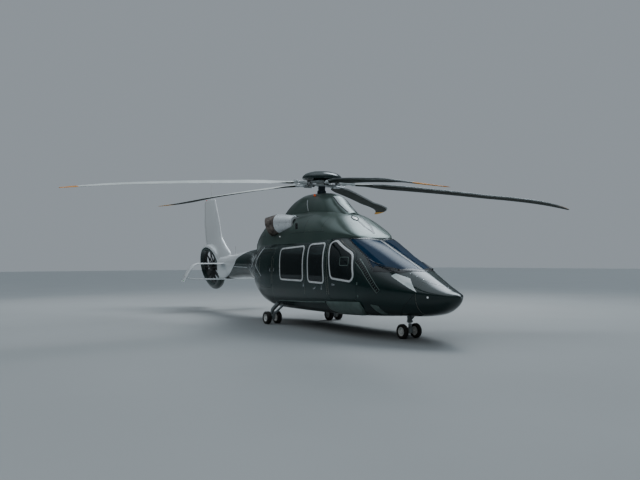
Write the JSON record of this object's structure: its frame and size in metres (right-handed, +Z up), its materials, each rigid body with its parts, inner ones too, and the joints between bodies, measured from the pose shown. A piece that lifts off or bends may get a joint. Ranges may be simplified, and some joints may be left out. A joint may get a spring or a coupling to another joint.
{
  "type": "medium twin-engined helicopter with ducted tail fan",
  "caption": "Medium passenger helicopter on wheels, with a drooping main rotor, a canted ducted tail fan and a twin-plane stabiliser, parked with its doors shut.",
  "frame": {"origin": "centre of the underside of the belly hard point plate, straight below the rotor hub", "axes": "+X forward to the nose, +Y to port, +Z up"},
  "size_m": [15.1138, 12.4206, 4.59],
  "materials": {
    "body_paint": "gloss",
    "tail_paint": "gloss",
    "tinted_glass": "tinted",
    "exhaust_steel": "heat stained",
    "engine_alloy": "cast",
    "hub_metal": "satin",
    "blade_skin": "satin",
    "fan_paint": "satin",
    "gear_paint": "satin",
    "rim_alloy": "painted silver",
    "tyre_rubber": "matt",
    "seat_leather": "satin",
    "panel_black": "matt"
  },
  "bodies": {
    "airframe": {"cabin_shell": "body_paint", "nose_cone": "body_paint", "engine_cowling": "body_paint", "mast_fairing": "body_paint", "rear_body": "body_paint", "tail_boom": "body_paint", "sliding_door_right": "body_paint", "sliding_door_left": "body_paint", "side_step_right": "body_paint", "side_step_left": "body_paint", "tail_fin": "tail_paint", "stabiliser": "tail_paint", "windscreen_right": "tinted_glass", "windscreen_left": "tinted_glass", "sliding_glass_right": "tinted_glass", "sliding_glass_left": "tinted_glass", "rear_glass_right": "tinted_glass", "rear_glass_left": "tinted_glass", "exhaust_right": "exhaust_steel", "exhaust_left": "exhaust_steel", "power_plant": "engine_alloy", "belly_hard_point": "hub_metal", "fan_stator": "fan_paint", "nose_leg": "gear_paint", "main_leg_right": "gear_paint", "main_leg_left": "gear_paint", "pilot_seat_right": "seat_leather", "pilot_seat_left": "seat_leather", "aft_seats": "seat_leather", "forward_seats": "seat_leather", "instrument_panel": "panel_black"},
    "crew_door_right": {"crew_door_right": "body_paint", "crew_glass_right": "tinted_glass"},
    "crew_door_left": {"crew_door_left": "body_paint", "crew_glass_left": "tinted_glass"},
    "baggage_door_right": {"baggage_door_right": "body_paint"},
    "baggage_door_left": {"baggage_door_left": "body_paint"},
    "main_rotor": {"rotor_mast": "hub_metal", "rotor_hub": "hub_metal", "hub_cap": "body_paint", "main_blade_1": "blade_skin", "main_blade_2": "blade_skin", "main_blade_3": "blade_skin", "main_blade_4": "blade_skin", "main_blade_5": "blade_skin"},
    "tail_fan": {"fan_rotor": "fan_paint"},
    "nose_steering": {"nose_fork": "gear_paint"},
    "nose_wheel_pair": {"nose_wheels": "rim_alloy", "nose_tyre_right": "tyre_rubber", "nose_tyre_left": "tyre_rubber"},
    "main_wheel_pair_right": {"main_wheels_right": "rim_alloy", "main_tyre_right_outer": "tyre_rubber", "main_tyre_right_inner": "tyre_rubber"},
    "main_wheel_pair_left": {"main_wheels_left": "rim_alloy", "main_tyre_left_outer": "tyre_rubber", "main_tyre_left_inner": "tyre_rubber"}
  },
  "joints": [
    {"name": "crew_door_right_hinge", "type": "hinge", "parent": "airframe", "child": "crew_door_right", "pos_m": [2.918, -0.972, 0.7], "axis": [0, 0, 1], "range_deg": [0, 75]},
    {"name": "crew_door_left_hinge", "type": "hinge", "parent": "airframe", "child": "crew_door_left", "pos_m": [2.918, 0.972, 0.7], "axis": [0, 0, -1], "range_deg": [0, 75]},
    {"name": "baggage_door_right_hinge", "type": "hinge", "parent": "airframe", "child": "baggage_door_right", "pos_m": [-0.962, -1.058, 1.1], "axis": [0, 0, 1], "range_deg": [0, 90]},
    {"name": "baggage_door_left_hinge", "type": "hinge", "parent": "airframe", "child": "baggage_door_left", "pos_m": [-0.962, 1.058, 1.1], "axis": [0, 0, -1], "range_deg": [0, 90]},
    {"name": "main_rotor_spin", "type": "hinge", "parent": "airframe", "child": "main_rotor", "pos_m": [0, 0, 3.43], "axis": [0.0506, 0, 0.9987], "continuous": true},
    {"name": "tail_fan_spin", "type": "hinge", "parent": "airframe", "child": "tail_fan", "pos_m": [-7.76, 0, 1.15], "axis": [0, 0.9781, 0.2079], "continuous": true},
    {"name": "nose_steer", "type": "hinge", "parent": "airframe", "child": "nose_steering", "pos_m": [3.59, 0, -0.05], "axis": [0, 0, 1], "range_deg": [-60, 60]},
    {"name": "nose_wheels_spin", "type": "hinge", "parent": "nose_steering", "child": "nose_wheel_pair", "pos_m": [3.56, 0, -0.21], "axis": [0, 1, 0], "continuous": true},
    {"name": "main_wheels_right_spin", "type": "hinge", "parent": "airframe", "child": "main_wheel_pair_right", "pos_m": [-0.975, -1.005, -0.198], "axis": [0, 1, 0], "continuous": true},
    {"name": "main_wheels_left_spin", "type": "hinge", "parent": "airframe", "child": "main_wheel_pair_left", "pos_m": [-0.975, 1.005, -0.198], "axis": [0, 1, 0], "continuous": true}
  ]
}
